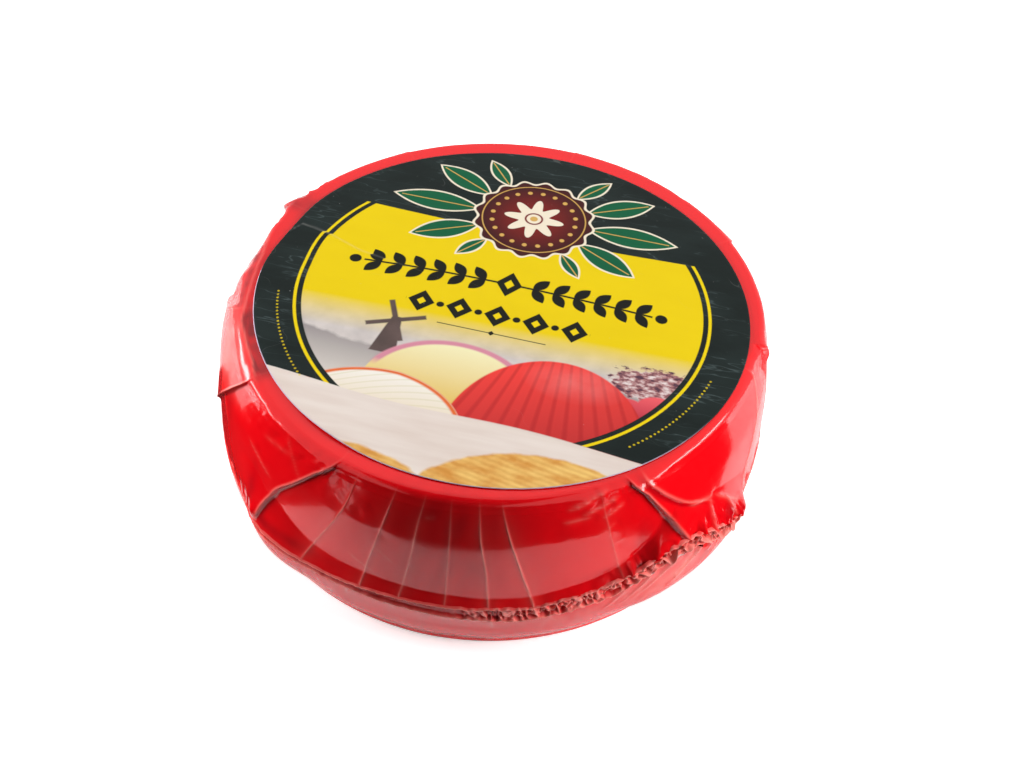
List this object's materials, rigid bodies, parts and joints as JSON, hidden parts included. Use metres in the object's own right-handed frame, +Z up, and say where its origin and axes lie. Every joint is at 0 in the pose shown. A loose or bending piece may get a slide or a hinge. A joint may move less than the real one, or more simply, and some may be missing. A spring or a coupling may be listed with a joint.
{
  "type": "gouda cheese",
  "caption": "Round gouda wheel shrink-wrapped in glossy red film, with a seam round its side, gathered corners and a round paper label on its flat top.",
  "frame": {"origin": "middle of the wheel's flat base, on the surface that it rests on", "axes": "+Z up through the wheel, +X the way the label reads, -Y towards the reader"},
  "size_m": [0.2214, 0.2282, 0.0837],
  "materials": {
    "red_film": "glossy shrink film over a red waxed cheese, creased and gathered",
    "label_paper": "printed coated paper, satin"
  },
  "bodies": {
    "root": {"wrapped_wheel": "red_film", "label": "label_paper"}
  },
  "joints": []
}
